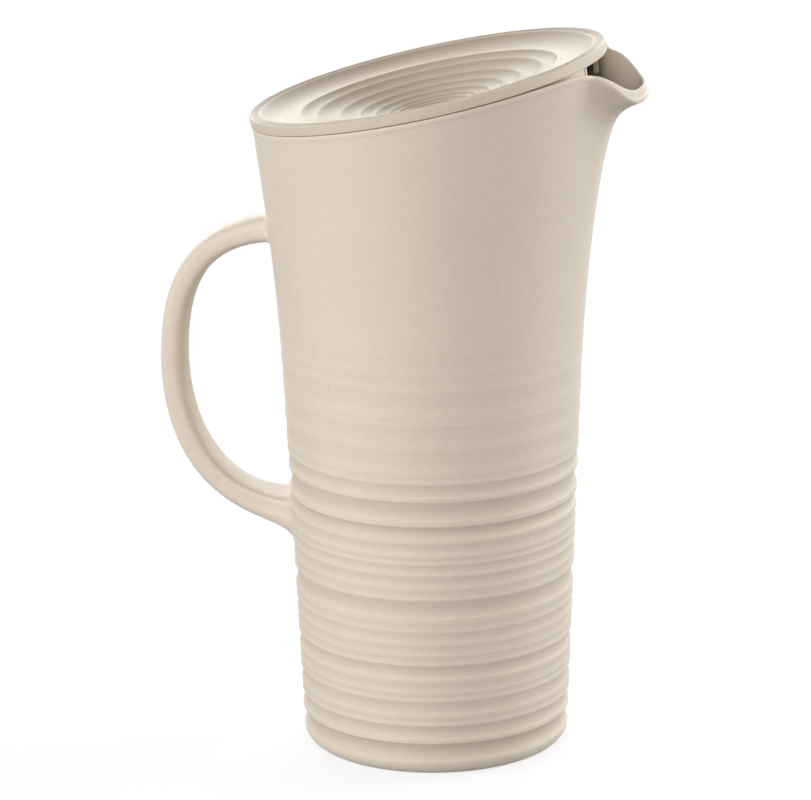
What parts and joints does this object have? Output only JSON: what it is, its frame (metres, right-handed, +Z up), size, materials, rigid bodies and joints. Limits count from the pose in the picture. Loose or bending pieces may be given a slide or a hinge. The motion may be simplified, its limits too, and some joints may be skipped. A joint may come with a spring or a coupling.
{
  "type": "lidded carafe",
  "caption": "Tall flared jug with a ribbed lower half, looped side handle, pouring lip and a dished round lid that turns in the sloping mouth and lifts off.",
  "frame": {"origin": "centre of the flat underside of the base", "axes": "+Z up along the jug's axis, +X towards the pouring lip, -X towards the handle, Y across; the part is mirror-symmetric in Y"},
  "size_m": [0.1983, 0.1446, 0.2903],
  "materials": {
    "jug": "matte",
    "lid": "matte",
    "seal": "matte"
  },
  "bodies": {
    "carafe": {"carafe_body": "jug", "handle": "jug"},
    "seal": {"lid_seal": "seal"},
    "lid": {"lid_cover": "lid", "lid_skirt": "lid"}
  },
  "joints": [
    {"name": "lid_lift", "type": "slide", "parent": "carafe", "child": "seal", "axis": [-0.2062, 0, 0.9785], "range_m": [0, 0.06]},
    {"name": "lid_turn", "type": "hinge", "parent": "seal", "child": "lid", "pos_m": [-0.0008, 0, 0.2755], "axis": [-0.2062, 0, 0.9785], "continuous": true}
  ]
}
